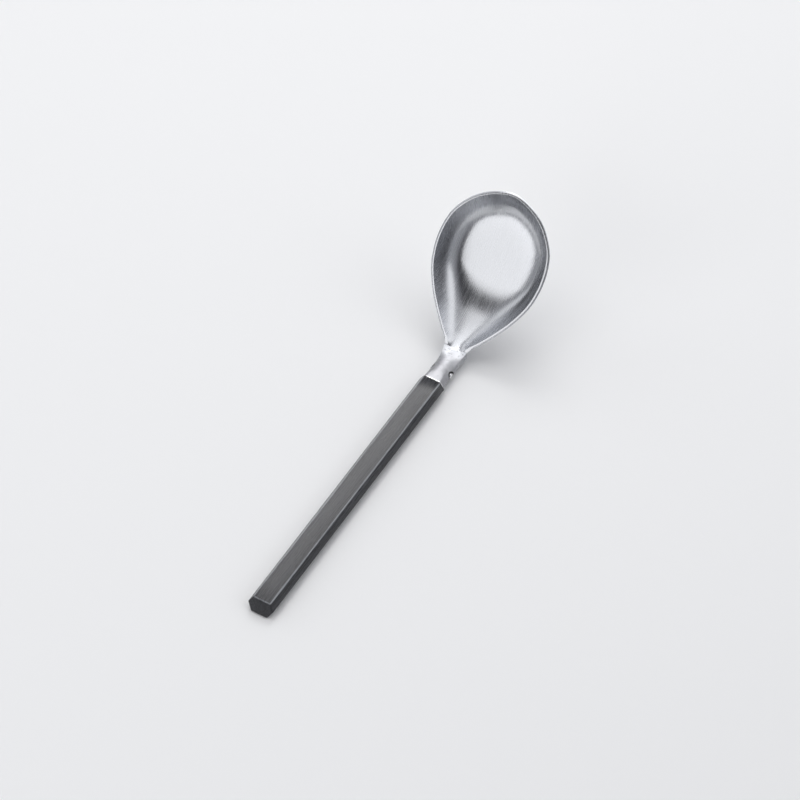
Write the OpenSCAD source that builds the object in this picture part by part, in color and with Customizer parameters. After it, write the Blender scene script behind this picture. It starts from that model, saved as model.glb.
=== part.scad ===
// Serving spoon with a pressed sheet-steel bowl, a rolled tube socket and a
// dark hardwood handle that a cross pin holds in the socket.
// X runs across the spoon, Y from the handle's end towards the bowl, Z is up.
// The underside of the handle lies on Z = 0, with the origin at its middle.

/* [Bowl] */
// Length of the rim from the neck to the tip
bowl_l = 62.4; // [54:0.2:76]
// Greatest width across the rim
bowl_w = 46; // [40:0.5:56]
// Depth of the hollow below the plane of the rim
bowl_depth = 9.5; // [6:0.5:13]
// Extra depth of the floor at its middle
floor_dish = 0.5; // [0.2:0.1:1]
// Thickness of the bowl's sheet
bowl_sheet = 1.1; // [0.8:0.1:1.5]
// Width of the neck where it meets the socket
neck_w = 9.4; // [8.6:0.1:10]
// Angle in degrees between the rim and the handle
crank_angle = 47.4; // [38:0.2:56]
// Height of the neck's middle above the middle of the socket
neck_rise = 1.6; // [1.3:0.1:2.1]
// How far the ends of the rim stand above the middle of the neck
gutter_h = 1.4; // [0.8:0.1:1.8]

/* [Socket] */
// Length of the socket from its mouth to the bowl's neck
socket_l = 17.2; // [15:0.2:24]
// Width of the oval part of the socket
socket_w = 8.5; // [7.8:0.1:9.2]
// Width of the socket at its six-sided mouth
mouth_w = 9; // [8.8:0.1:10]
// Step from the handle's top facet down to the mouth
mouth_inset = 0.15; // [0.1:0.05:0.4]
// Wall of the rolled tube
socket_wall = 1; // [0.8:0.05:1.1]
// Width of the seam where the rolled edges meet
seam_w = 0.25; // [0.15:0.05:0.6]
// How much shorter the socket is underneath than on top
socket_beak = 4.6; // [3:0.2:6]

/* [Handle] */
// Length of the handle along its top facet
handle_l = 120; // [90:1:150]
// Width across the handle's side edges
handle_w = 10.6; // [10:0.1:14]
// Height between the handle's top and bottom facets
handle_h = 5.9; // [5.6:0.1:7]
// Width of the top and bottom facets
facet_w = 7.1; // [5:0.1:9]
// How far the bottom of the handle's end reaches past its top
end_rake = 2.9; // [1:0.1:4]
// Height of the end's soft crown across its width
end_crown = 0.4; // [0.2:0.05:0.8]
// Bevel round the shoulder at the socket
shoulder_bevel = 0.35; // [0.2:0.05:0.6]
// Length of the tenon inside the socket
tenon_l = 11.5; // [10:0.5:12.5]

/* [Pin] */
// Diameter of the cross pin
pin_d = 2.2; // [1.8:0.1:2.4]
// Distance of the pin from the socket's mouth
pin_back = 6.6; // [6:0.1:7.6]
// How far each pin end stands out of the socket
pin_proud = 0.2; // [0.1:0.05:0.4]

/* [Fits] */
// Clearance all round the tenon in the socket
tenon_gap = 0.1; // [0.05:0.05:0.2]
// Clearance all round the pin in the tenon's hole
pin_gap = 0.04; // [0.02:0.01:0.08]
// Gap all round the pin in the socket's wall
pin_rim_gap = 0.2; // [0.1:0.05:0.3]

/* [Hidden] */
$fn = 48;

// Rim outline from the tip to the neck: share of the length from the tip, then
// share of the half width. The row of the widest point is the one at widest_share.
widest_share = 0.405;
rim_shares = [
    [0, 0],
    [0.036, 0.365],
    [0.11, 0.662],
    [0.214, 0.878],
    [0.305, 0.967],
    [widest_share, 1],
    [0.505, 0.983],
    [0.61, 0.913],
    [0.731, 0.753],
    [0.839, 0.556],
    [0.923, 0.378]
];
// Number of that row.
widest_knot = 5;
// The curve across the hollow is one minus this power of the share from middle to
// rim: a shallow gutter at the neck, a flat floor with steep walls at the middle.
neck_power = 2;
wall_power = 7;
// How far up the hollow's lower part the neck's ramp runs before the floor begins,
// and how much of it curves into the floor. The rest of the ramp is straight.
ramp_share = 0.74;
fold_share = 0.25;
// How far the ramp's slope is carried on below the neck, as a share of the ramp.
tail_share = 0.06;
// Steps between outline points, down the walls and round the socket.
rim_steps = 4;
wall_steps = 10;
tube_sides = 48;

axis_z = handle_h / 2;
mouth_y = handle_l / 2;
neck_y = mouth_y + socket_l;
neck_z = axis_z + neck_rise + gutter_h;
cut_over = handle_w;

// Rim curve through its knots, mirrored at the tip.
rim_knots = concat(
    [for (k = rim_shares) [k[1] * bowl_w / 2, (1 - k[0]) * bowl_l]],
    [[neck_w / 2, 0]]
);
last_knot = len(rim_knots) - 1;
middle_y = (1 - widest_share) * bowl_l;

// The neck is cut off square, so the middle of the gutter starts below the rim's end.
gutter_depth = gutter_h * cos(crank_angle);
ramp_from = -gutter_depth * tan(crank_angle);
ramp_to = ramp_share * middle_y;
tail = 2 * (gutter_depth + bowl_sheet) * tan(crank_angle);

function knot(i) =
    i < 0 ? [-rim_knots[1][0], rim_knots[1][1]]
    : i > last_knot ? rim_knots[last_knot] - [0, neck_w / 2]
    : rim_knots[i];

function curve(a, b, c, d, t) =
    (2 * b + (c - a) * t + (2 * a - 5 * b + 4 * c - d) * t * t
    + (3 * b - a - 3 * c + d) * t * t * t) / 2;

function unit(v) = v / norm(v);

half_rim = concat(
    [for (i = [0 : last_knot - 1]) for (j = [0 : rim_steps - 1])
        curve(knot(i - 1), knot(i), knot(i + 1), knot(i + 2), j / rim_steps)],
    [rim_knots[last_knot], rim_knots[last_knot] - [0, tail / 2], rim_knots[last_knot] - [0, tail]]
);
last_rim = len(half_rim) - 1;
widest = widest_knot * rim_steps;

function rim_run(i) =
    i == 0 ? [1, 0]
    : i >= last_rim - 2 ? [0, -1]
    : unit(half_rim[i + 1] - half_rim[i - 1]);

// The same outline moved inwards by the sheet.
half_inner = [
    for (i = [0 : last_rim]) half_rim[i] + bowl_sheet * [rim_run(i)[1], -rim_run(i)[0]]
];

// Both halves of an outline as one chain, from the tip down the right side and
// back up the left side.
function chain(half) = concat(half, [for (i = [last_rim : -1 : 1]) [-half[i][0], half[i][1]]]);

outer_chain = chain(half_rim);
inner_chain = chain(half_inner);
chain_n = len(outer_chain);

function ease(t) = let (c = min(max(t, 0), 1)) c * c * (3 - 2 * c);

// How far the ramp has come down at a place y: 0 at the neck and 1 at the floor.
function ramp(y) =
    let (
        s = min(max((y - ramp_from) / (ramp_to - ramp_from), -tail_share), 1),
        slope = 2 / (2 - fold_share)
    )
    s < 1 - fold_share ? slope * s : 1 - slope * (1 - s) * (1 - s) / (2 * fold_share);

// A point of a skin: a is 0 at the rim and 90 at the middle. Towards the tip the
// skin closes on the floor's middle, towards the neck on the spoon's middle line.
function skin_point(p, a, sheet) =
    let (
        power = neck_power + (wall_power - neck_power) * ease(p[1] / ramp_to),
        u = pow(cos(a), 2 / power),
        y = p[1] < middle_y ? p[1] : middle_y + u * (p[1] - middle_y),
        down = gutter_depth + (bowl_depth - gutter_depth) * ramp(p[1]) + sheet
    )
    [u * p[0], y, down * (1 - pow(u, power)) + floor_dish * ramp(p[1]) * (1 - u * u)];

// From rim coordinates (across, along, below the rim) to the part's own.
function place(p) = [
    p[0],
    neck_y + p[1] * cos(crank_angle) + p[2] * sin(crank_angle),
    neck_z + p[1] * sin(crank_angle) - p[2] * cos(crank_angle)
];

// Rings from the rim inwards, then the middle line from the floor down to the neck.
wall_angles = concat([for (j = [0 : wall_steps - 1]) 90 * j / wall_steps], [89]);
rings = len(wall_angles);
spine_n = last_rim - widest + 1;
skin_n = rings * chain_n + spine_n;

function skin(outline, sheet) = concat(
    [for (a = wall_angles) for (p = outline) place(skin_point(p, a, sheet))],
    [for (i = [widest : last_rim]) place(skin_point(outline[i], 90, sheet))]
);

// Vertex number of chain point i in ring j of the skin that starts at base.
function vertex(base, j, i) =
    j < rings ? base + j * chain_n + i % chain_n
    : base + rings * chain_n + max(0, min(i, chain_n - i) - widest);

function turned(f, flip) = flip ? [f[2], f[1], f[0]] : f;

// Triangles of one skin, turned over for the inner one.
function skin_faces(base, flip) = [
    for (j = [0 : rings - 1]) for (i = [0 : chain_n - 1]) if (i != last_rim)
        let (
            a = vertex(base, j, i),
            b = vertex(base, j, i + 1),
            c = vertex(base, j + 1, i + 1),
            d = vertex(base, j + 1, i)
        )
        each concat([turned([a, b, c], flip)], c == d ? [] : [turned([a, c, d], flip)])
];

// The rim's edge, between the outer skin and the inner one.
rim_faces = [
    for (i = [0 : chain_n - 1]) if (i != last_rim)
        let (n = (i + 1) % chain_n)
        each [[i, skin_n + n, skin_n + i], [i, n, skin_n + n]]
];

// The two ends of the skins below the neck.
tail_faces = [
    for (side = [0, 1]) for (j = [0 : rings - 1])
        let (
            i = last_rim + side,
            a = vertex(0, j, i),
            b = vertex(0, j + 1, i),
            c = vertex(skin_n, j + 1, i),
            d = vertex(skin_n, j, i)
        )
        each [turned([a, b, c], side == 1), turned([a, c, d], side == 1)]
];

// Rolled socket.
socket_h = handle_h - 2 * mouth_inset;
mouth_flat_share = (facet_w - 4 * mouth_inset) / mouth_w;
mouth_hex_share = 0.7;
six_sided_share = 0.4;
oval_to_share = 0.58;
gutter_from = 30;
// Places of the cross sections along the socket.
section_shares = [0, 0.05, 0.1, 0.15, 0.2, 0.25, 0.3, 0.4, 0.58, 0.67, 0.76, 0.85, 0.93, 1];

function hex_reach(c, s) = 1 / max(abs(s), abs(c) + (1 - mouth_flat_share) * abs(s));

// Upper half of the section at the neck, a gutter between the ends of the rim.
function gutter_point(a, wall) =
    let (
        u = a < gutter_from ? 1 : a > 180 - gutter_from ? -1 : (90 - a) / (90 - gutter_from),
        side = min(a, 180 - a, gutter_from) / gutter_from
    )
    [u * (neck_w / 2 - wall), (neck_rise + gutter_h * u * u) * side - wall * side];

// Closed section between the six-sided mouth and the plain oval.
function oval_point(t, a, wall) =
    let (
        near = 1 - ease(t / six_sided_share),
        hex = near * mouth_hex_share,
        width = mouth_w * near + socket_w * (1 - near),
        reach = hex * hex_reach(cos(a), sin(a)) + (1 - hex)
    )
    [(width / 2 - wall) * reach * cos(a), (socket_h / 2 - wall) * reach * sin(a)];

// One point of the socket at share t, angle a, inwards by wall.
function tube_point(t, a, wall) =
    let (
        near = ease((t - oval_to_share) / (1 - oval_to_share)),
        p = oval_point(t, a, wall),
        q = a < 180 ? gutter_point(a, wall)
            : [(neck_w / 2 - wall) * cos(a), (socket_h / 2 - wall) * sin(a)],
        m = p * (1 - near) + q * near
    )
    [m[0], mouth_y + t * socket_l, axis_z + m[1]];

function tube_rings(wall) =
    [for (t = section_shares) for (i = [0 : tube_sides - 1]) tube_point(t, 360 * i / tube_sides, wall)];

tube_n = len(section_shares) * tube_sides;

function band(a, b, flip) = [
    for (i = [0 : tube_sides - 1]) for (h = [0, 1])
        let (
            n = (i + 1) % tube_sides,
            f = h == 0 ? [a + i, a + n, b + n] : [a + i, b + n, b + i]
        )
        flip ? [f[2], f[1], f[0]] : f
];

tube_faces = concat(
    [for (k = [0 : len(section_shares) - 2])
        each band(k * tube_sides, (k + 1) * tube_sides, false)],
    [for (k = [0 : len(section_shares) - 2])
        each band(tube_n + k * tube_sides, tube_n + (k + 1) * tube_sides, true)],
    band(0, tube_n, true),
    band(tube_n - tube_sides, 2 * tube_n - tube_sides, false)
);

// Tenon, pin and the end of the handle. The tenon's round edges stay clear of the
// oval by this share of its height.
tenon_ease_share = 0.15;
tenon_h = socket_h - 2 * socket_wall - 2 * tenon_gap;
tenon_w = socket_w - 2 * socket_wall - 2 * tenon_gap - tenon_ease_share * tenon_h;
rake_angle = atan(end_rake / handle_h);
crown_r = (handle_w * handle_w / 4 + end_crown * end_crown) / (2 * end_crown);

module at_pin() {
    translate([0, mouth_y + pin_back, axis_z])
        rotate([0, 90, 0])
            children();
}

module bowl() {
    color("gainsboro")
        difference() {
            polyhedron(
                points = concat(skin(outer_chain, bowl_sheet), skin(inner_chain, 0)),
                faces = concat(skin_faces(0, true), skin_faces(skin_n, false), rim_faces, tail_faces)
            );
            // Square end of the neck, flush with the socket.
            translate([-neck_w, neck_y - cut_over, neck_z - cut_over])
                cube([2 * neck_w, cut_over, 2 * cut_over]);
        }
}

module socket() {
    color("lightgray")
        difference() {
            polyhedron(points = concat(tube_rings(0), tube_rings(socket_wall)), faces = tube_faces);
            at_pin()
                cylinder(d = pin_d + 2 * pin_rim_gap, h = 2 * mouth_w, center = true);
            // Seam underneath, where the rolled edges meet.
            translate([-seam_w / 2, mouth_y - cut_over, -socket_wall])
                cube([seam_w, socket_l + 2 * cut_over, axis_z]);
            // Slanted lower end, open towards the bowl's back.
            translate([0, neck_y, axis_z])
                rotate([atan(socket_beak / axis_z), 0, 0])
                    translate([-neck_w, 0, -2 * cut_over])
                        cube([2 * neck_w, cut_over, 2 * cut_over]);
        }
}

module facet_bar(length) {
    rotate([90, 0, 0])
        linear_extrude(length)
            polygon([
                [-facet_w / 2, 0],
                [facet_w / 2, 0],
                [handle_w / 2, axis_z],
                [facet_w / 2, handle_h],
                [-facet_w / 2, handle_h],
                [-handle_w / 2, axis_z]
            ]);
}

// Side view of the bar, bevelled at the shoulder.
module side_outline() {
    polygon([
        [-mouth_y - end_rake - cut_over, 0],
        [mouth_y - shoulder_bevel, 0],
        [mouth_y, shoulder_bevel],
        [mouth_y, handle_h - shoulder_bevel],
        [mouth_y - shoulder_bevel, handle_h],
        [-mouth_y - end_rake - cut_over, handle_h]
    ]);
}

// View of the bar from above, bevelled at the shoulder.
module plan_outline() {
    polygon([
        [-handle_w / 2, -mouth_y - end_rake - cut_over],
        [handle_w / 2, -mouth_y - end_rake - cut_over],
        [handle_w / 2, mouth_y - 2 * shoulder_bevel],
        [handle_w / 2 - 2 * shoulder_bevel, mouth_y],
        [-handle_w / 2 + 2 * shoulder_bevel, mouth_y],
        [-handle_w / 2, mouth_y - 2 * shoulder_bevel]
    ]);
}

// What is cut off behind the raked and crowned end.
module end_waste() {
    translate([0, -mouth_y, handle_h])
        rotate([-rake_angle, 0, 0])
            difference() {
                translate([-handle_w, -2 * cut_over, -2 * cut_over])
                    cube([2 * handle_w, 2 * cut_over + end_crown * 2, 4 * cut_over]);
                translate([0, crown_r, 0])
                    cylinder(r = crown_r, h = 6 * cut_over, center = true, $fn = 180);
            }
}

module tenon() {
    translate([0, mouth_y + tenon_l, axis_z])
        rotate([90, 0, 0])
            linear_extrude(tenon_l + 2 * shoulder_bevel) {
                square([tenon_w - tenon_h, tenon_h], center = true);
                for (side = [-1, 1])
                    translate([side * (tenon_w - tenon_h) / 2, 0])
                        circle(d = tenon_h);
            }
}

module handle() {
    color([0.09, 0.08, 0.08])
        difference() {
            union() {
                intersection() {
                    translate([0, mouth_y, 0])
                        facet_bar(handle_l + end_rake + cut_over);
                    rotate([90, 0, 90])
                        linear_extrude(2 * handle_w, center = true)
                            side_outline();
                    linear_extrude(handle_h)
                        plan_outline();
                }
                tenon();
            }
            end_waste();
            at_pin()
                cylinder(d = pin_d + 2 * pin_gap, h = 2 * handle_w, center = true);
        }
}

module cross_pin() {
    color("silver")
        at_pin()
            cylinder(d = pin_d, h = socket_w + 2 * pin_proud, center = true);
}

bowl();
socket();
handle();
cross_pin();
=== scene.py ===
# %% [markdown]
# # A small serving spoon
# The spoon is a pressed steel bowl on a short rolled socket, with a slim
# six-sided handle of dark hardwood that a cross pin holds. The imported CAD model
# is the frame: it says where each piece is. This notebook gives the pieces their
# smooth surfaces and their finish, and sets the light and the camera.

# %% Load the frame
import math

import bmesh
import bpy
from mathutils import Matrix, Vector


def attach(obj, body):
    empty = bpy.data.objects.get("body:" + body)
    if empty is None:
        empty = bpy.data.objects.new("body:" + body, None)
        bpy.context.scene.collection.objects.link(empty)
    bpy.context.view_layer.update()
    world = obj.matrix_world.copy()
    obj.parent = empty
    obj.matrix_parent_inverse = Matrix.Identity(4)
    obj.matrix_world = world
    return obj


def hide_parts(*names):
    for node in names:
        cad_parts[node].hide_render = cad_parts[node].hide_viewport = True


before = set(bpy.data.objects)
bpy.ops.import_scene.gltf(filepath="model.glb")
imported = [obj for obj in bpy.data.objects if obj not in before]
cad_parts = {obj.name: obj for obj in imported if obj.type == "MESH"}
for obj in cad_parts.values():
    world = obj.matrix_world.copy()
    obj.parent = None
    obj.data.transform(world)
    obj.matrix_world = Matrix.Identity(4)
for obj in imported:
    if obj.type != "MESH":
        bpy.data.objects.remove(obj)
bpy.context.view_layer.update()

# %% [markdown]
# ## Sizes
# The frame is in metres, so a size in millimetres is multiplied by MM. These are
# the sizes of the CAD model, because a piece that replaces a CAD node has to
# lie where the node lies. Only the neck's gutter is shallower here, with its
# middle raised as much, so that tube and bowl flow into each other.

# %% Sizes of the spoon
MM = 0.001

BOWL_LENGTH = 62.4 * MM
BOWL_WIDTH = 46 * MM
BOWL_DEPTH = 9.5 * MM
FLOOR_DISH = 0.5 * MM
BOWL_SHEET = 1.1 * MM
NECK_WIDTH = 9.4 * MM
NECK_RISE = 2.3 * MM
GUTTER = 0.7 * MM
CRANK = math.radians(47.4)
QUARTER_TURN = math.pi / 2

SOCKET_LENGTH = 17.2 * MM
SOCKET_WIDTH = 8.5 * MM
MOUTH_WIDTH = 9 * MM
MOUTH_INSET = 0.15 * MM
SOCKET_WALL = 1 * MM
SEAM_WIDTH = 0.25 * MM

HANDLE_LENGTH = 120 * MM
HANDLE_WIDTH = 10.6 * MM
HANDLE_HEIGHT = 5.9 * MM
FACET_WIDTH = 7.1 * MM
END_RAKE = 2.9 * MM
END_CROWN = 0.4 * MM

PIN_WIDTH = 2.2 * MM
PIN_BACK = 6.6 * MM
PIN_PROUD = 0.2 * MM
PIN_RIM_GAP = 0.2 * MM

AXIS_Z = HANDLE_HEIGHT / 2
MOUTH_Y = HANDLE_LENGTH / 2
NECK_Y = MOUTH_Y + SOCKET_LENGTH
NECK_Z = AXIS_Z + NECK_RISE + GUTTER

# %% [markdown]
# ## Helpers for meshes
# Most pieces are built from rings of points. A ring is a list of points in the
# same order as the ring before it, so two rings make a band of four-sided faces.
# The bowl is the one shape that is open at an end, so a plane cuts it there and
# the hole is filled.

# %% Mesh helpers
def ease(t):
    """0 below 0, 1 above 1, and a smooth step between."""
    t = min(max(t, 0.0), 1.0)
    return t * t * (3 - 2 * t)


def band(first, second, count):
    """Faces between two rings that start at these vertex numbers."""
    return [
        (first + i, first + (i + 1) % count, second + (i + 1) % count, second + i)
        for i in range(count)
    ]


SAME_PLACE = 0.001 * MM
ON_PLANE = 0.000001 * MM


def finish_piece(name, mesh, cut=()):
    """An object at the origin: doubles merged, faces outwards, smooth shading."""
    shape = bmesh.new()
    shape.from_mesh(mesh)
    bmesh.ops.remove_doubles(shape, verts=shape.verts, dist=SAME_PLACE)
    for place, normal in cut:
        parts = shape.verts[:] + shape.edges[:] + shape.faces[:]
        bmesh.ops.bisect_plane(
            shape, geom=parts, plane_co=place, plane_no=normal, clear_outer=True, dist=ON_PLANE
        )
        open_edges = [e for e in shape.edges if e.is_boundary]
        bmesh.ops.holes_fill(shape, edges=open_edges)
    bmesh.ops.recalc_face_normals(shape, faces=shape.faces)
    shape.to_mesh(mesh)
    shape.free()
    for face in mesh.polygons:
        face.use_smooth = True
    piece = bpy.data.objects.new(name, mesh)
    bpy.context.scene.collection.objects.link(piece)
    print(name, len(mesh.vertices), "points,", len(mesh.polygons), "faces")
    return piece


def make_piece(name, points, faces, uvs=None, cut=()):
    """A piece from points and faces, with its flat lay-out as a UV map."""
    mesh = bpy.data.meshes.new(name)
    mesh.from_pydata(points, [], faces)
    if uvs:
        layer = mesh.uv_layers.new(name="flat")
        for loop in mesh.loops:
            layer.data[loop.index].uv = uvs[loop.vertex_index]
    return finish_piece(name, mesh, cut)


def sharpen(piece, angle):
    """Edges sharper than the angle stay crisp in the smooth shading."""
    shape = bmesh.new()
    shape.from_mesh(piece.data)
    for edge in shape.edges:
        if len(edge.link_faces) == 2:
            edge.smooth = edge.calc_face_angle(0) < angle
    shape.to_mesh(piece.data)
    shape.free()


# %% [markdown]
# ## Nodes as Python
# Finishes, the room's light and some shapes are trees of nodes. Nodes could be
# placed one by one, but then a formula fills a page. One small class wraps a
# node's output, so that sums and products read like plain Python. Another adds
# any node in one call. OBJECT_PLACE is the number of the output that gives a
# point's place in the object's own coordinates.

# %% Values and trees
OBJECT_PLACE = 3


class Value:
    """A node's output. Using it in a sum or product adds a Math node."""

    def __init__(self, tree, link):
        self.tree, self.link = tree, link

    def math(self, operation, *sides):
        node = self.tree.nodes.new("ShaderNodeMath")
        node.operation = operation
        for slot, side in zip(node.inputs, (self, *sides)):
            if isinstance(side, Value):
                self.tree.links.new(side.link, slot)
            else:
                slot.default_value = side
        return Value(self.tree, node.outputs[0])

    def __add__(self, other):
        return self.math("ADD", other)

    __radd__ = __add__

    def __mul__(self, other):
        return self.math("MULTIPLY", other)

    __rmul__ = __mul__

    def __sub__(self, other):
        return self.math("SUBTRACT", other)

    def __rsub__(self, other):
        return self.math("MULTIPLY", -1.0) + other

    def __truediv__(self, other):
        return self.math("DIVIDE", other)

    def held(self, low=0.0, high=1.0):
        """The value, kept between two numbers."""
        return self.math("MAXIMUM", low).math("MINIMUM", high)


class Tree:
    """A node tree with one method that adds any node."""

    def __init__(self, tree):
        self.tree = tree

    def node(self, kind, settings=None, out=0, **values):
        """A new node: its settings, the number of the output to use, its inputs."""
        made = self.tree.nodes.new(kind)
        for key, value in (settings or {}).items():
            if key == "stops":
                stops = made.color_ramp.elements
                while len(stops) < len(value):
                    stops.new(0.5)
                for element, (place, colour) in zip(stops, value):
                    element.position, element.color = place, (*colour, 1)
            else:
                setattr(made, key, value)
        for key, value in values.items():
            self.feed(made.inputs[key.replace("_", " ")], value)
        return Value(self.tree, made.outputs[out]) if made.outputs else None

    def feed(self, slot, value):
        """An input gets a link or a constant."""
        if isinstance(value, Value):
            self.tree.links.new(value.link, slot)
        else:
            slot.default_value = value


def split(tree, vector):
    """The X, Y and Z of a vector as three values."""
    node = tree.tree.nodes.new("ShaderNodeSeparateXYZ")
    tree.tree.links.new(vector.link, node.inputs[0])
    return [Value(tree.tree, output) for output in node.outputs]


class Finish(Tree):
    """A material with one Principled shader."""

    def __init__(self, name):
        self.material = bpy.data.materials.new(name)
        self.material.use_nodes = True
        super().__init__(self.material.node_tree)
        self.shader = self.tree.nodes["Principled BSDF"]

    def set(self, **values):
        """Inputs of the Principled shader."""
        for key, value in values.items():
            self.feed(self.shader.inputs[key.replace("_", " ")], value)


class Shape(Tree):
    """A geometry tree with named inputs, turned into a plain mesh at the end."""

    def __init__(self, name, **inputs):
        super().__init__(bpy.data.node_groups.new(name, "GeometryNodeTree"))
        face = self.tree.interface
        self.settings = {}
        for key, value in inputs.items():
            kind = "Material" if isinstance(value, bpy.types.Material) else "Float"
            label = key.replace("_", " ")
            slot = face.new_socket(label, in_out="INPUT", socket_type="NodeSocket" + kind)
            self.settings[slot.identifier] = value
        face.new_socket("Geometry", in_out="OUTPUT", socket_type="NodeSocketGeometry")
        self.start = self.tree.nodes.new("NodeGroupInput")

    def given(self, label):
        """The value of a named input."""
        return Value(self.tree, self.start.outputs[label])

    def mesh(self, geometry):
        """The finished tree's result, as a plain mesh without a modifier."""
        plain = self.node("GeometryNodeRealizeInstances", Geometry=geometry)
        dressed = self.node(
            "GeometryNodeSetMaterial", Geometry=plain, Material=self.given("Material")
        )
        end = self.tree.nodes.new("NodeGroupOutput")
        self.tree.links.new(dressed.link, end.inputs[0])
        holder = bpy.data.objects.new("holder", bpy.data.meshes.new("holder"))
        bpy.context.scene.collection.objects.link(holder)
        rule = holder.modifiers.new("rule", "NODES")
        rule.node_group = self.tree
        for identifier, value in self.settings.items():
            rule[identifier] = value
        seen = holder.evaluated_get(bpy.context.evaluated_depsgraph_get())
        result = bpy.data.meshes.new_from_object(seen)
        bpy.data.objects.remove(holder)
        return result


# %% [markdown]
# ## The bowl
# A press draws the bowl from one sheet. Its rim is a closed curve through a few
# knots, its floor is a round, nearly flat disc, and its wall runs from each
# point of the rim to the disc. At the neck the wall opens into a gutter, and a
# ramp runs down to the floor, with a soft curved fold where they meet. The
# shape could be sculpted, but a rule keeps it true to the pressing. The bowl is
# laid out in the plane of its rim first, and then tipped up by the crank angle.

# %% The outline of the rim
# Each knot: share of the length from the tip, share of the half width.
WIDEST = 0.405
RIM_SHARES = [
    (0, 0), (0.036, 0.365), (0.11, 0.662), (0.214, 0.878), (0.305, 0.967), (WIDEST, 1),
    (0.505, 0.983), (0.61, 0.913), (0.731, 0.753), (0.839, 0.556), (0.923, 0.378),
]
RIM_STEPS = 10
WALL_STEPS = 40
TAIL_STEPS = 6

knots = [(w * BOWL_WIDTH / 2, (1 - s) * BOWL_LENGTH) for s, w in RIM_SHARES]
knots.append((NECK_WIDTH / 2, 0.0))
before_first = (-knots[1][0], knots[1][1])
after_last = (knots[-1][0], knots[-1][1] - NECK_WIDTH / 2)
chain = [Vector(k) for k in [before_first, *knots, after_last]]


def curve(a, b, c, d, t):
    """The point at share t between knots b and c of a Catmull-Rom curve."""
    return (
        2 * b + (c - a) * t + (2 * a - 5 * b + 4 * c - d) * t**2
        + (3 * b - a - 3 * c + d) * t**3
    ) / 2


half_rim = []
for k in range(len(knots) - 1):
    for step in range(RIM_STEPS):
        half_rim.append(curve(*chain[k:k + 4], step / RIM_STEPS))
half_rim.append(Vector(knots[-1]))
print("points on half the rim:", len(half_rim))

# %% [markdown]
# Across the bowl, the depth is 1 minus u to a power, where u is 0 in the middle
# and 1 at the rim: a power of 2 gives a plain arc, and 7 a flat floor with steep
# walls. The power grows from the neck to the widest place. The ramp is straight
# at first and ends in a parabola, and its lower end curves round the floor's
# disc. A little extra fall next to the neck bends the sheet gently where it
# leaves the tube.

# %% The rule for the sheet
NECK_POWER, WALL_POWER = 2, 7
SOFT_WALL = 1.4  # the power has grown after this many lengths of the ramp
RAMP_SHARE = 0.70  # length of the ramp, of the way to the widest place
FOLD_SHARE = 0.50  # the part of the ramp that is a parabola
FOLD_CURVE = 25 * MM  # radius of the fold, seen from above
BEFORE_NECK = -0.1  # the ramp goes on this far up behind the neck
BEND, BEND_RUN = 2.2 * MM, 4 * MM  # the extra fall at the neck, and its length
EDGE_HOLD = 24  # the higher, the nearer to the rim the ground edge stays

middle_y = (1 - WIDEST) * BOWL_LENGTH
gutter_depth = GUTTER * math.cos(CRANK)
ramp_from = -gutter_depth * math.tan(CRANK)
ramp_to = RAMP_SHARE * middle_y
tail = 2 * (gutter_depth + BOWL_SHEET) * math.tan(CRANK)
for step in range(1, TAIL_STEPS + 1):
    half_rim.append(Vector((NECK_WIDTH / 2, -tail * step / TAIL_STEPS)))
LAST = len(half_rim) - 1


def rim_run(i):
    """The direction of the rim at its point i."""
    if i == 0:
        return Vector((1, 0))
    if i >= LAST - TAIL_STEPS:
        return Vector((0, -1))
    return (half_rim[i + 1] - half_rim[i - 1]).normalized()


def outline(inset):
    """The rim from the tip down the right side and back up the left side."""
    half = []
    for i, point in enumerate(half_rim):
        run = rim_run(i)
        half.append(point + inset * Vector((run.y, -run.x)))
    half[0].x = 0
    return half + [Vector((-p.x, p.y)) for p in half[:0:-1]]


def bowl_place(x, along, below):
    """From the plane of the rim to the frame."""
    return Vector((
        x,
        NECK_Y + along * math.cos(CRANK) + below * math.sin(CRANK),
        NECK_Z + along * math.sin(CRANK) - below * math.cos(CRANK),
    ))


def ramp(x, y):
    """How far the neck's ramp has come down at a place: 0 at the neck, 1 at the floor."""
    run = y - ramp_from - x * x / (2 * FOLD_CURVE) * ease(y / ramp_to)
    share = min(max(run / (ramp_to - ramp_from), BEFORE_NECK), 1)
    slope = 2 / (2 - FOLD_SHARE)
    if share < 1 - FOLD_SHARE:
        straight = slope * share
    else:
        straight = 1 - slope * (1 - share) ** 2 / (2 * FOLD_SHARE)
    bend = BEND / (BOWL_DEPTH - gutter_depth)
    return (1 - bend) * straight + bend * (1 - math.exp(-max(run, -BEND_RUN / 2) / BEND_RUN))


def skin_point(p, turn, sheet, drop=0.0):
    """A point below rim point p: turn is 0 at the rim, a right angle in the middle."""
    power = NECK_POWER + (WALL_POWER - NECK_POWER) * ease(p.y / (SOFT_WALL * ramp_to))
    u = math.cos(turn) ** (2 / power) if turn < QUARTER_TURN else 0
    y = p.y if p.y < middle_y else middle_y + u * (p.y - middle_y)
    came_down = ramp(u * p.x, p.y)
    down = gutter_depth + (BOWL_DEPTH - gutter_depth) * came_down + sheet
    below = down * (1 - u**power) + FLOOR_DISH * came_down * (1 - u * u)
    return Vector((u * p.x, y, below + drop * math.cos(turn) ** EDGE_HOLD))


# %% [markdown]
# The sheet has two skins, one sheet thickness apart. The maker grinds the rim,
# so its outer corner is lower than its inner one and the edge between them is
# rounded. A bevel would round both corners alike, so rings of points are laid
# from skin to skin instead. The rings run on a little behind the neck, where a
# plane cuts all of them off at once.

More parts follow.
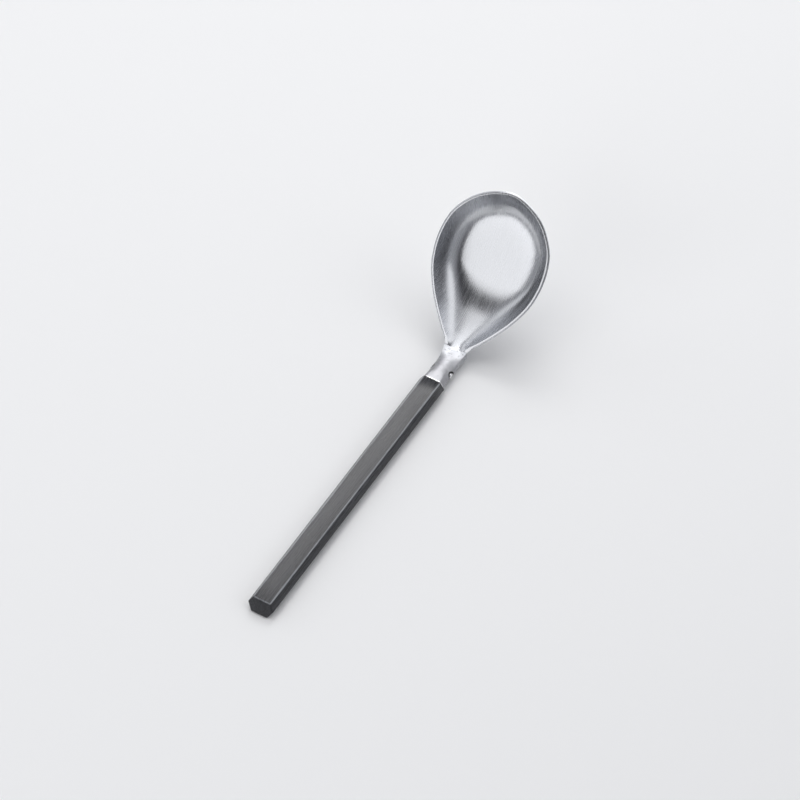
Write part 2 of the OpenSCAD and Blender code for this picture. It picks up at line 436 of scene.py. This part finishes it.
# %% The two skins and the ground rim
EDGE_DROP = 0.45 * MM  # how far the rim's outer corner is ground down
EDGE_FADE = 4 * MM  # the grinding starts over this length at the neck
EDGE_STEPS = 4
CROWDING = 1.6  # above 1, the turns lie closer together near the middle
HAIR = 0.003 * MM  # the cut at the neck stays clear of the points on its line

WALL_TURNS = [
    QUARTER_TURN * (1 - (1 - j / WALL_STEPS) ** CROWDING) for j in range(WALL_STEPS + 1)
]


def skin(ring, sheet, drop=0.0):
    """Points of one skin in the bowl's own plane, ring by ring from the rim inwards."""
    return [
        skin_point(p, turn, sheet, drop * ease(p.y / EDGE_FADE))
        for turn in WALL_TURNS for p in ring
    ]


outer = skin(outline(0), BOWL_SHEET, EDGE_DROP)
inner = skin(outline(BOWL_SHEET), 0)
around = 2 * LAST + 1

edge = []
for k in range(EDGE_STEPS + 1):
    share = k / EDGE_STEPS
    for a, b in zip(outer[:around], inner[:around]):
        m = a.lerp(b, share)
        m.z = b.z + (a.z - b.z) * (1 - math.sqrt(1 - (1 - share) ** 2))
        edge.append(m)
print("points of the outer skin, inner skin and edge:", len(outer), len(inner), len(edge))

# %% The faces of the sheet
flat_points = outer + inner + edge
inner_base, edge_base = len(outer), len(outer) + len(inner)
bowl_faces = []
steps = [i for i in range(around) if i != LAST]
for base, count in ((0, WALL_STEPS), (inner_base, WALL_STEPS), (edge_base, EDGE_STEPS)):
    for j in range(count):
        near, far = base + j * around, base + (j + 1) * around
        for i in steps:
            on = (i + 1) % around
            bowl_faces.append((near + i, near + on, far + on, far + i))
for i in (LAST, LAST + 1):
    for j in range(WALL_STEPS):
        near, far = j * around + i, (j + 1) * around + i
        bowl_faces.append((near, far, inner_base + far, inner_base + near))

bowl = make_piece(
    "bowl_pressing",
    [bowl_place(*m) for m in flat_points],
    bowl_faces,
    [(m.x, m.y) for m in flat_points],
    cut=[(Vector((0, NECK_Y + HAIR, 0)), Vector((0, -1, 0)))],
)
sharpen(bowl, math.radians(35))
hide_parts("bowl")
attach(bowl, "root")

# %% [markdown]
# ## The socket
# The neck of the sheet is rolled into a short tube. Its mouth follows the
# six-sided handle, it is a plain oval round the pin, and at the neck its top
# opens into the bowl's gutter.

# %% The rolled tube
SECTIONS = 44
SIDES = 96
MOUTH_HEX = 0.7
SIX_SIDED = 0.4
OVAL_TO = 0.58
GUTTER_FROM = math.radians(30)
socket_height = HANDLE_HEIGHT - 2 * MOUTH_INSET
mouth_flat = (FACET_WIDTH - 4 * MOUTH_INSET) / MOUTH_WIDTH


def gutter_point(a, wall):
    """Upper half of the section at the neck."""
    if a < GUTTER_FROM:
        u = 1
    elif a > math.pi - GUTTER_FROM:
        u = -1
    else:
        u = (math.pi / 2 - a) / (math.pi / 2 - GUTTER_FROM)
    side = min(a, math.pi - a, GUTTER_FROM) / GUTTER_FROM
    return Vector((u * (NECK_WIDTH / 2 - wall), (NECK_RISE + GUTTER * u * u - wall) * side))


def oval_point(t, a, wall):
    """The closed section between the mouth and the plain oval."""
    near = 1 - ease(t / SIX_SIDED)
    six = near * MOUTH_HEX
    width = MOUTH_WIDTH * near + SOCKET_WIDTH * (1 - near)
    c, s = abs(math.cos(a)), abs(math.sin(a))
    reach = six / max(s, c + (1 - mouth_flat) * s) + 1 - six
    return reach * Vector((
        (width / 2 - wall) * math.cos(a), (socket_height / 2 - wall) * math.sin(a)
    ))


def tube_point(t, a, wall):
    """A point of the socket at share t of its length."""
    near = ease((t - OVAL_TO) / (1 - OVAL_TO))
    if a < math.pi:
        end = gutter_point(a, wall)
    else:
        end = Vector((
            (NECK_WIDTH / 2 - wall) * math.cos(a), (socket_height / 2 - wall) * math.sin(a)
        ))
    m = oval_point(t, a, wall) * (1 - near) + end * near
    return Vector((m.x, MOUTH_Y + t * SOCKET_LENGTH, AXIS_Z + m.y))


tube_points, tube_flats, tube_faces = [], [], []
for wall in (0, SOCKET_WALL):
    for k in range(SECTIONS + 1):
        for i in range(SIDES):
            angle = 2 * math.pi * i / SIDES
            tube_points.append(tube_point(k / SECTIONS, angle, wall))
            turn = angle if i <= SIDES / 2 else 2 * math.pi - angle
            tube_flats.append((turn * SOCKET_WIDTH / 2, k / SECTIONS * SOCKET_LENGTH))
layer = (SECTIONS + 1) * SIDES
for base in (0, layer):
    for k in range(SECTIONS):
        tube_faces += band(base + k * SIDES, base + (k + 1) * SIDES, SIDES)
tube_faces += band(0, layer, SIDES)
tube_faces += band(SECTIONS * SIDES, layer + SECTIONS * SIDES, SIDES)

socket = make_piece("rolled_socket", tube_points, tube_faces, tube_flats)

# %% [markdown]
# The smith then drills the tube for the pin. Underneath, the rolled edges leave a
# hairline seam. Both are straight cuts across the tube, so each tool is a prism
# along X, and a Boolean modifier takes it away.

# %% Cuts in the tube
def prism(name, outline, half_width):
    """A closed block with this outline in the Y-Z plane."""
    count = len(outline)
    points = [Vector((x, y, z)) for x in (-half_width, half_width) for y, z in outline]
    ends = [tuple(range(count)), tuple(range(2 * count - 1, count - 1, -1))]
    return make_piece(name, points, band(0, count, count) + ends)


def cut_away(piece, tools):
    """The tools are cut out of the piece, and then removed."""
    for tool in tools:
        cut = piece.modifiers.new("cut", "BOOLEAN")
        cut.operation, cut.solver, cut.object = "DIFFERENCE", "EXACT", tool
    seen = piece.evaluated_get(bpy.context.evaluated_depsgraph_get())
    mesh = bpy.data.meshes.new_from_object(seen)
    piece.modifiers.clear()
    piece.data = mesh
    for tool in tools:
        bpy.data.objects.remove(tool)
    print("after the cuts:", len(mesh.vertices), "points,", len(mesh.polygons), "faces")


OVER = 1 * MM  # a tool reaches this far past the tube
HOLE_SIDES = 40
hole_radius = PIN_WIDTH / 2 + PIN_RIM_GAP
turns = [2 * math.pi * i / HOLE_SIDES for i in range(HOLE_SIDES)]
hole = [
    (MOUTH_Y + PIN_BACK + hole_radius * math.cos(a), AXIS_Z + hole_radius * math.sin(a))
    for a in turns
]
seam = [
    (MOUTH_Y - OVER, -OVER), (NECK_Y + OVER, -OVER),
    (NECK_Y + OVER, AXIS_Z), (MOUTH_Y - OVER, AXIS_Z),
]
cut_away(socket, [
    prism("pin_hole", hole, MOUTH_WIDTH), prism("seam_slot", seam, SEAM_WIDTH / 2)
])
sharpen(socket, math.radians(40))
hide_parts("socket")
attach(socket, "root")

# %% [markdown]
# ## Brushed steel
# The bowl is brushed along its length. Long thin streaks come from a noise that
# is stretched along the sheet, on a map that lays the pressing out flat. The
# streaks change the roughness and feed a faint bump. The socket is mottled
# instead, because brazing heated it. Its steel is painted darker than the bowl's,
# as painted shade that dims the back softbox's reflection on the tube. Near the
# neck its colour runs into the bowl's, and dark specks lie there. A ring round the
# pin is painted dark as painted shadow in the gap round the pin, and the bare edge
# at the mouth is painted near white as a painted highlight.

# %% Steel finishes
BOWL_COLOUR = (0.61, 0.62, 0.645)
# The socket's colour is darker than the bowl's: painted shade that dims the tube's reflection
# of the back softbox.
SOCKET_SHADED_COLOUR = (0.47, 0.47, 0.49)
SPECK_AND_SHADOW_COLOUR = (0.05, 0.05, 0.05)
BARE_EDGE_HIGHLIGHT_COLOUR = (0.90, 0.90, 0.91)
DARK_STREAK = 0.86  # the darkest streak, as a share of the colour
DARK_CLOUD = 0.25  # a full mottle takes this much more off
STREAK_ROUGH, CLOUD_ROUGH = 0.25, 0.3
STAIN_REACH = 9 * MM
SPECKS_FROM, SPECKS_CRISP = 0.56, 9  # more noise than this is a speck
SHADOW_RING_RADIUS, SHADOW_RING_WIDTH = 1.5 * MM, 0.4 * MM
MOUTH_HIGHLIGHT_WIDTH = 0.5 * MM
SCRATCH_DEPTH = 0.05 * MM


def mixed(paint, share, first, second):
    """The first colour, and at share 1 the second."""
    return paint.node(
        "ShaderNodeMix", {"data_type": "RGBA"}, out=2, Factor=share, A=first, B=(*second, 1)
    )


def stains_and_painted_light(paint, shade, where, stain):
    """The socket's colour with its specks, a painted shadow ring round the pin and a painted
    highlight on the bare mouth edge.
    """
    _, y, z = split(paint, where)
    blots = paint.node("ShaderNodeTexNoise", Vector=where, Scale=900, Detail=2, Roughness=0.5)
    near_neck = ((y - NECK_Y) / STAIN_REACH + 1).held()
    specks_and_gap_shadow = ((blots - SPECKS_FROM) * SPECKS_CRISP).held() * near_neck * stain
    # A ring round the pin is painted dark: painted shadow in the gap round the pin.
    back, up = y - (MOUTH_Y + PIN_BACK), z - AXIS_Z
    from_hole = (back * back + up * up).math("SQRT") - SHADOW_RING_RADIUS
    ring = (1 - from_hole.math("ABSOLUTE") / SHADOW_RING_WIDTH).held()
    specks_and_gap_shadow = specks_and_gap_shadow.math("MAXIMUM", (ring * 2).held())
    # The bare edge at the mouth is painted near white: a painted highlight on the polished
    # edge.
    bare_edge_highlight = ((MOUTH_Y + MOUTH_HIGHLIGHT_WIDTH - y) / (MOUTH_HIGHLIGHT_WIDTH / 2)).held()
    # Near the neck the socket's painted shade fades into the bowl's colour.
    shade = mixed(paint, near_neck, shade, BOWL_COLOUR)
    shade = mixed(paint, specks_and_gap_shadow, shade, SPECK_AND_SHADOW_COLOUR)
    return mixed(paint, bare_edge_highlight, shade, BARE_EDGE_HIGHLIGHT_COLOUR)


def brushed_steel(name, colour, rough, streak, across, along, mottle=0.0, stain=0.0):
    """Steel with streaks this fine across and along, and clouds instead at mottle 1."""
    paint = Finish(name)
    flat = paint.node("ShaderNodeUVMap", {"uv_map": "flat"})
    fine = paint.node("ShaderNodeMapping", Vector=flat, Scale=(across, along, 1))
    wide = paint.node("ShaderNodeMapping", Vector=flat, Scale=(across / 6, along / 3, 1))
    lines = paint.node("ShaderNodeTexNoise", Vector=fine, Scale=1, Detail=4, Roughness=0.6)
    bands = paint.node("ShaderNodeTexNoise", Vector=wide, Scale=1, Detail=2, Roughness=0.5)
    where = paint.node("ShaderNodeTexCoord", out=OBJECT_PLACE)
    cloud = paint.node("ShaderNodeTexNoise", Vector=where, Scale=500, Detail=3, Roughness=0.6)
    mix = lines * 0.6 + bands * 0.4
    darkest = DARK_STREAK - DARK_CLOUD * mottle
    shade = paint.node(
        "ShaderNodeValToRGB",
        {"stops": [(0.3, tuple(darkest * c for c in colour)), (0.7, colour)]},
        Fac=mix * (1 - mottle) + cloud * mottle,
    )
    if stain:
        shade = stains_and_painted_light(paint, shade, where, stain)
    bump = paint.node(
        "ShaderNodeBump",
        Strength=streak, Distance=SCRATCH_DEPTH, Height=lines + cloud * mottle,
    )
    paint.set(
        Base_Color=shade, Metallic=1.0, Normal=bump,
        Roughness=rough + (mix - 0.5) * STREAK_ROUGH + (cloud - 0.5) * (CLOUD_ROUGH * mottle),
    )
    print(name, "has", len(paint.tree.nodes), "nodes")
    return paint.material


bowl.data.materials.append(
    brushed_steel("bowl_steel", BOWL_COLOUR, rough=0.26, streak=0.4, across=3000, along=90)
)
socket.data.materials.append(brushed_steel(
    "socket_steel", SOCKET_SHADED_COLOUR,
    rough=0.45, streak=0.4, across=900, along=300, mottle=0.8, stain=0.6,
))

# %% [markdown]
# ## Dark hardwood
# Fine pores and long grain lines run along the bar. Noise on the object's own
# coordinates is stretched along Y, so the grain follows the wood on every face.
# The edges round the top facet are painted paler, as a painted highlight on their
# rounding. The distance from those edges is a short formula, so no mask has to be
# painted. At the tube the wood is painted dark and dull, as painted shadow in the
# small groove where the wood meets the tube.

# %% Wood finish
EDGE_SHEEN_WIDTH, SHEEN_TONE = 0.6 * MM, 0.6
GAP_SHADOW_LENGTH, GAP_SHADOW_ROUGH = 0.7 * MM, 0.6
GRAIN_ROUGH = 0.25
# Colours of the wood: dark pores and the painted gap shadow, then plain wood, then the painted
# edge highlight.
WOOD_COLOURS = [
    (0.35, (0.010, 0.010, 0.012)), (0.65, (0.032, 0.033, 0.039)), (1.0, (0.28, 0.29, 0.31))
]

wood = Finish("handle_wood")
where = wood.node("ShaderNodeTexCoord", out=OBJECT_PLACE)
grain_at = wood.node("ShaderNodeMapping", Vector=where, Scale=(2600, 130, 2600))
figure_at = wood.node("ShaderNodeMapping", Vector=where, Scale=(500, 25, 500))
grain = wood.node("ShaderNodeTexNoise", Vector=grain_at, Scale=1, Detail=4, Roughness=0.65)
figure = wood.node("ShaderNodeTexNoise", Vector=figure_at, Scale=1, Detail=3, Roughness=0.5)
tone = grain * 0.55 + figure * 0.45
x, y, z = split(wood, where)
beside = x.math("ABSOLUTE") - FACET_WIDTH / 2
before, under = y + HANDLE_LENGTH / 2, z - HANDLE_HEIGHT
from_long_edge = (beside * beside + under * under).math("SQRT")
from_end_edge = (before * before + under * under).math("SQRT")
# The top facet's edges are painted paler: a painted highlight on their rounding.
edge_sheen = (1 - from_long_edge.math("MINIMUM", from_end_edge) / EDGE_SHEEN_WIDTH).held()
# The wood is painted dark and made dull at the tube's mouth: painted shadow in the gap.
gap_shadow = ((y - HANDLE_LENGTH / 2) / GAP_SHADOW_LENGTH + 1).held()
colour = wood.node(
    "ShaderNodeValToRGB", {"stops": WOOD_COLOURS}, Fac=tone + edge_sheen * SHEEN_TONE - gap_shadow
)
pores = wood.node("ShaderNodeBump", Strength=0.35, Distance=SCRATCH_DEPTH, Height=grain)
wood.set(
    Base_Color=colour, Normal=pores, Specular_IOR_Level=0.5,
    Roughness=0.28 + (grain - 0.5) * GRAIN_ROUGH + gap_shadow * GAP_SHADOW_ROUGH,
)
print("handle_wood has", len(wood.tree.nodes), "nodes")

# %% [markdown]
# ## The handle
# The handle is a planed bar: one six-sided section along a straight line, cut off
# at a slant, crowned across its end, and rounded on every edge that a hand meets.
# It could be a box with bevels, but its shape is a rule, so a geometry tree says
# it. The section is swept along a line of rings. Each ring then finds its place:
# the first ones fill the end face, the next ones round its edge, the others run
# along the bar, and the last one makes the bevel at the socket.

# %% The bar as a rule
FACE_RINGS, ROUND_RINGS, BAR_RINGS = 4, 6, 16
FIRST_RING = 0.1  # size of the first ring, as a share of the section
bar = Shape(
    "planed_bar",
    Length=HANDLE_LENGTH, Width=HANDLE_WIDTH, Height=HANDLE_HEIGHT, Facet=FACET_WIDTH,
    Edge=0.25 * MM, Rake=END_RAKE, Crown=END_CROWN, Top_round=0.3 * MM, Low_round=1.1 * MM,
    Shoulder=0.35 * MM, Material=wood.material,
)
length, width, height = bar.given("Length"), bar.given("Width"), bar.given("Height")
facet, shoulder = bar.given("Facet"), bar.given("Shoulder")

# The section: a ring of six points, moved to the corners, with rounded corners.
ring_of_six = bar.node("GeometryNodeCurvePrimitiveCircle", Resolution=6, Radius=1.0)
x, y, _ = split(bar, bar.node("GeometryNodeInputPosition"))
reach = facet / 2 + (x.math("ABSOLUTE") - 0.5) * (width - facet)
corner = bar.node(
    "ShaderNodeCombineXYZ", X=x.math("SIGN") * reach,
    Y=y / math.sin(math.pi / 3) * height / 2,
)
six_sided = bar.node("GeometryNodeSetPosition", Geometry=ring_of_six, Position=corner)
section = bar.node(
    "GeometryNodeFilletCurve", {"mode": "POLY"},
    Curve=six_sided, Count=3, Radius=bar.given("Edge"), Limit_Radius=True,
)

# The rings: a line of points along the bar that remember their number.
line_end = bar.node("ShaderNodeCombineXYZ", Y=length)
line = bar.node("GeometryNodeCurvePrimitiveLine", End=line_end)
rings_line = bar.node(
    "GeometryNodeResampleCurve", {"mode": "COUNT"},
    Curve=line, Count=FACE_RINGS + ROUND_RINGS + BAR_RINGS + 2,
)
keep = bar.tree.nodes.new("GeometryNodeCaptureAttribute")
keep.capture_items.new("FLOAT", "ring")
bar.feed(keep.inputs["Geometry"], rings_line)
bar.feed(keep.inputs["ring"], bar.node("GeometryNodeInputIndex"))
numbered = Value(bar.tree, keep.outputs["Geometry"])
ring = Value(bar.tree, keep.outputs["ring"])
swept = bar.node(
    "GeometryNodeCurveToMesh", Curve=numbered, Profile_Curve=section, Fill_Caps=True
)

# %% Where each ring goes
x, _, z = split(bar, bar.node("GeometryNodeInputPosition"))
face = (ring / FACE_RINGS).held() * (1 - FIRST_RING) + FIRST_RING
turn = ((ring - FACE_RINGS) / ROUND_RINGS).held() * QUARTER_TURN
along = ((ring - FACE_RINGS - ROUND_RINGS) / BAR_RINGS).held()
last = (ring - FACE_RINGS - ROUND_RINGS - BAR_RINGS).held()
lower = bar.node(
    "ShaderNodeMapRange", {"interpolation_type": "SMOOTHSTEP"}, Value=0.2 - z / height * 2
)
top_round, low_round = bar.given("Top round"), bar.given("Low round")
radius = top_round + (low_round - top_round) * lower
inset = radius * (1 - turn.math("SINE")) + shoulder * last
shrink = (1 - inset / (x * x + z * z).math("SQRT")) * face
x, z = x * shrink, z * shrink
crown = bar.given("Crown") * (x / width * 2) * (x / width * 2)
end_y = crown - length / 2 - bar.given("Rake") * (0.5 - z / height)
end_y = end_y + radius * (1 - turn.math("COSINE"))
y = end_y * (1 - along) + (length / 2 - shoulder) * along + shoulder * last
place = bar.node("ShaderNodeCombineXYZ", X=x, Y=y, Z=z + height / 2)
handle_mesh = bar.mesh(bar.node("GeometryNodeSetPosition", Geometry=swept, Position=place))

handle = finish_piece("handle_bar", handle_mesh)
sharpen(handle, math.radians(50))
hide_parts("handle")
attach(handle, "root")

# %% [markdown]
# ## The cross pin
# A steel pin goes through the socket and the wood. Its ends stand a little out
# of the tube and are slightly domed. It is a turned piece, so a profile of
# places along X and shares of the radius is spun into rings.

# %% The pin
PIN_SIDES = 32
half_pin = SOCKET_WIDTH / 2 + PIN_PROUD
profile = [
    (half_pin, 0.0), (half_pin - 0.02 * MM, 0.5), (half_pin - 0.07 * MM, 0.8),
    (half_pin - 0.2 * MM, 1.0), (0.0, 1.0),
]
profile += [(-x, r) for x, r in profile[3::-1]]
pin_points, pin_faces = [], []
for x, r in profile:
    for i in range(PIN_SIDES):
        a = 2 * math.pi * i / PIN_SIDES
        radius = r * PIN_WIDTH / 2
        pin_points.append(Vector((
            x, MOUTH_Y + PIN_BACK + radius * math.cos(a), AXIS_Z + radius * math.sin(a)
        )))
for k in range(len(profile) - 1):
    pin_faces += band(k * PIN_SIDES, (k + 1) * PIN_SIDES, PIN_SIDES)
pin = make_piece("cross_pin_steel", pin_points, pin_faces)
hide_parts("cross_pin")
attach(pin, "root")
pin_paint = Finish("pin_steel")
pin_where = pin_paint.node("ShaderNodeTexCoord", out=OBJECT_PLACE)
pin_noise = pin_paint.node("ShaderNodeTexNoise", Vector=pin_where, Scale=3000, Detail=3)
pin_paint.set(
    Base_Color=(0.75, 0.75, 0.76, 1), Metallic=1.0, Roughness=0.25 + (pin_noise - 0.5) * 0.3
)
pin.data.materials.append(pin_paint.material)

# %% [markdown]
# ## Floor, light and camera
# The spoon lies on a plain pale floor under soft lamps. A mirror shows its room,
# so each lamp stands where one part of the steel or the wood looks: the low
# softbox in the bowl's floor, the top panel in the ramp, the back softbox in the
# handle's top facet, and the side panels in the bowl's flanks. The dark side of
# the room, between the first two, makes the dark patch beside the bright disc.
# The camera stands where the photographer stood, with a long lens.

# %% The floor
FLOOR_SIZE = 6
FLOOR_GAP = 0.02 * MM
bpy.ops.mesh.primitive_plane_add(size=FLOOR_SIZE, location=(0, 0, -FLOOR_GAP))
floor = bpy.context.object
floor.name = "studio_floor"
floor_paint = Finish("studio_floor")
floor_paint.set(Base_Color=(0.90, 0.90, 0.90, 1), Roughness=0.9)
floor.data.materials.append(floor_paint.material)
print("the floor is", FLOOR_SIZE, "metres wide")

# %% The world
DARK_SIDE = Vector((0.0, -0.68, 0.73)).normalized()
# Colours of the room: the nearer the place to 1, the nearer to the dark side.
ROOM = [
    (0.0, (0.46, 0.47, 0.50)), (0.60, (0.38, 0.39, 0.41)),
    (0.82, (0.24, 0.24, 0.26)), (0.90, (0.02, 0.02, 0.025)),
]

world = bpy.data.worlds.new("studio")
world.use_nodes = True
bpy.context.scene.world = world
sky = Tree(world.node_tree)
sky.tree.nodes.clear()
x, y, z = split(sky, sky.node("ShaderNodeTexCoord"))
facing = x * DARK_SIDE.x + y * DARK_SIDE.y + z * DARK_SIDE.z
room = sky.node("ShaderNodeValToRGB", {"stops": ROOM}, Fac=facing)
soft = sky.node("ShaderNodeBackground", Color=room, Strength=1.0)
sky.node("ShaderNodeOutputWorld", Surface=soft)
print("tones of the room:", len(ROOM))

# %% The lamps
AIM = Vector((0, NECK_Y + 15 * MM, 15 * MM))  # every lamp looks at this point
LAMPS = [
    # name, direction from the bowl, width, height, shine
    ("low_softbox", (-0.22, -0.86, 0.44), 0.95, 0.58, 1.45),
    ("top_panel", (-0.12, 0.14, 0.98), 1.30, 0.66, 1.20),
    ("back_softbox", (-0.33, 0.58, 0.75), 0.50, 0.38, 4.5),
    ("right_panel", (0.72, 0.26, 0.64), 0.70, 0.60, 0.95),
    ("left_panel", (-0.88, 0.05, 0.45), 0.80, 0.60, 0.6),
]


def lamp(name, direction, width, height, shine, distance=1.0):
    """An area lamp that looks at the bowl; shine 1 looks as bright as white paper."""
    data = bpy.data.lights.new(name, "AREA")
    data.shape = "RECTANGLE"
    data.size, data.size_y = width, height
    data.energy = shine * math.pi * width * height
    made = bpy.data.objects.new(name, data)
    bpy.context.scene.collection.objects.link(made)
    made.location = AIM + Vector(direction).normalized() * distance
    made.rotation_euler = Vector(direction).to_track_quat("Z", "Y").to_euler()
    print(name, "at", [round(c, 2) for c in made.location])


for row in LAMPS:
    lamp(*row)

# %% The camera
AZIMUTH, ELEVATION = math.radians(31), math.radians(51)
FRAME_WIDTH = 293.6 * MM
FRAME_RIGHT, FRAME_UP = 18.79 * MM, 35.71 * MM  # middle of the picture, from the origin
CAMERA_AWAY = 1.8
SENSOR = 36  # width in mm, as in a full-frame camera
back = Vector((
    math.sin(AZIMUTH) * math.cos(ELEVATION),
    -math.cos(AZIMUTH) * math.cos(ELEVATION),
    math.sin(ELEVATION),
))
right = Vector((math.cos(AZIMUTH), math.sin(AZIMUTH), 0))
up = back.cross(right)
target = FRAME_RIGHT * right + FRAME_UP * up
camera_data = bpy.data.cameras.new("camera")
camera_data.sensor_width = SENSOR
camera_data.lens = SENSOR * CAMERA_AWAY / FRAME_WIDTH
camera = bpy.data.objects.new("camera", camera_data)
bpy.context.scene.collection.objects.link(camera)
camera.location = target + back * CAMERA_AWAY
camera.rotation_mode = "QUATERNION"
camera.rotation_quaternion = back.to_track_quat("Z", "Y")
bpy.context.scene.camera = camera
bpy.context.scene.view_settings.view_transform = "Standard"
print("the camera is at", [round(c, 2) for c in camera.location])
